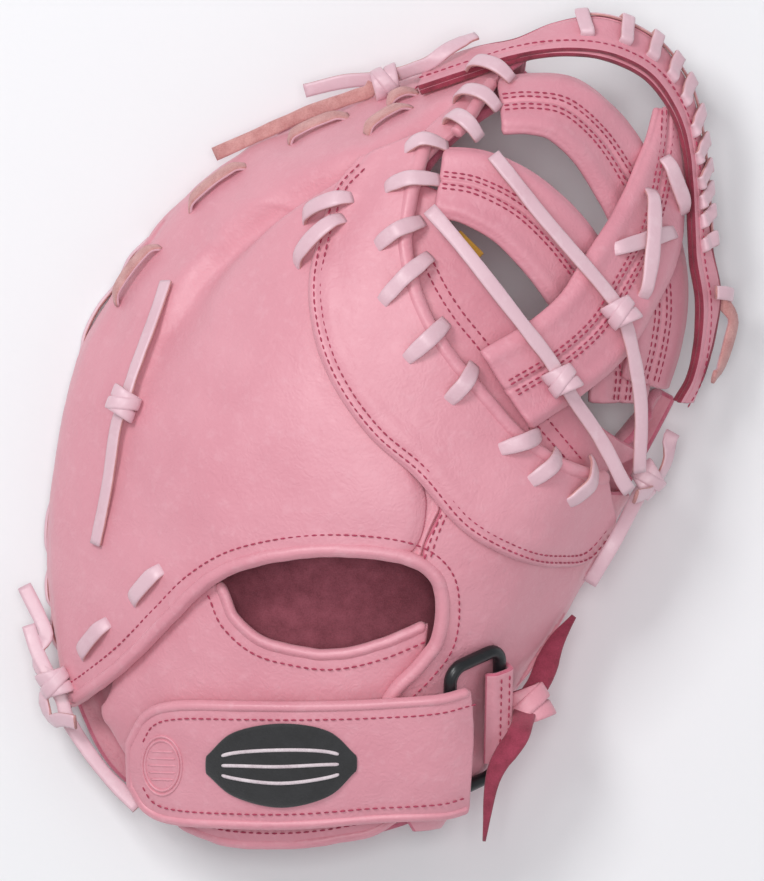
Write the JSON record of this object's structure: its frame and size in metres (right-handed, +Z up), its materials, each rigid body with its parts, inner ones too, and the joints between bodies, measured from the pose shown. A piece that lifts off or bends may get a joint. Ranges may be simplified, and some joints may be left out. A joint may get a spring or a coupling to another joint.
{
  "type": "first baseman mitt",
  "caption": "Left-hand first base mitt of pink leather with a laced single-post web, an open back, a closing strap through a plastic ring, rawhide knots and a padded pocket.",
  "frame": {"origin": "centre of the box round the mitt, on the floor it rests on", "axes": "+Y from heel to fingertips, +Z up through the back, +X towards the web side"},
  "size_m": [0.286, 0.3302, 0.1132],
  "materials": {
    "shell": "soft satin",
    "palm": "soft satin",
    "lining": "suede",
    "lace": "rawhide",
    "tie": "suede",
    "badge": "embroidered",
    "ring": "satin",
    "tab": "matt"
  },
  "bodies": {
    "root": {"finger_back": "shell", "thumb_back": "shell", "thumb_base": "shell", "web_welt": "shell", "tip_welt": "shell", "opening_binding": "shell", "palm_lip": "shell", "web_bar_upper": "shell", "web_bar_lower": "shell", "web_post": "shell", "web_rim": "shell", "palm": "palm", "hand_lining": "lining", "wrist_pad": "shell", "wrist_binding": "shell", "hem_binding": "shell", "wrist_strap": "shell", "strap_binding": "shell", "strap_badge": "badge", "web_lace": "lace", "arch_lace": "lace", "tip_lace_1": "lace", "tip_lace_2": "lace", "tip_lace_3": "lace", "rim_lace_1": "lace", "rim_lace_2": "lace", "rim_lace_3": "lace", "rim_lace_4": "lace", "rim_lace_5": "lace", "slot_lace_1": "lace", "slot_lace_2": "lace", "vee_lace_1": "lace", "vee_lace_2": "lace", "cross_lace_1": "lace", "cross_lace_2": "lace", "cross_lace_3": "lace", "seam_lace": "lace", "finger_knot": "lace", "heel_knot": "lace", "top_knot": "lace", "web_knot_upper": "lace", "web_knot_lower": "lace", "thumb_knot": "lace", "wrist_tie": "tie", "arch_tail": "lace", "strap_ring": "ring", "ring_loop": "shell", "crotch_tab": "tab"}
  },
  "joints": []
}
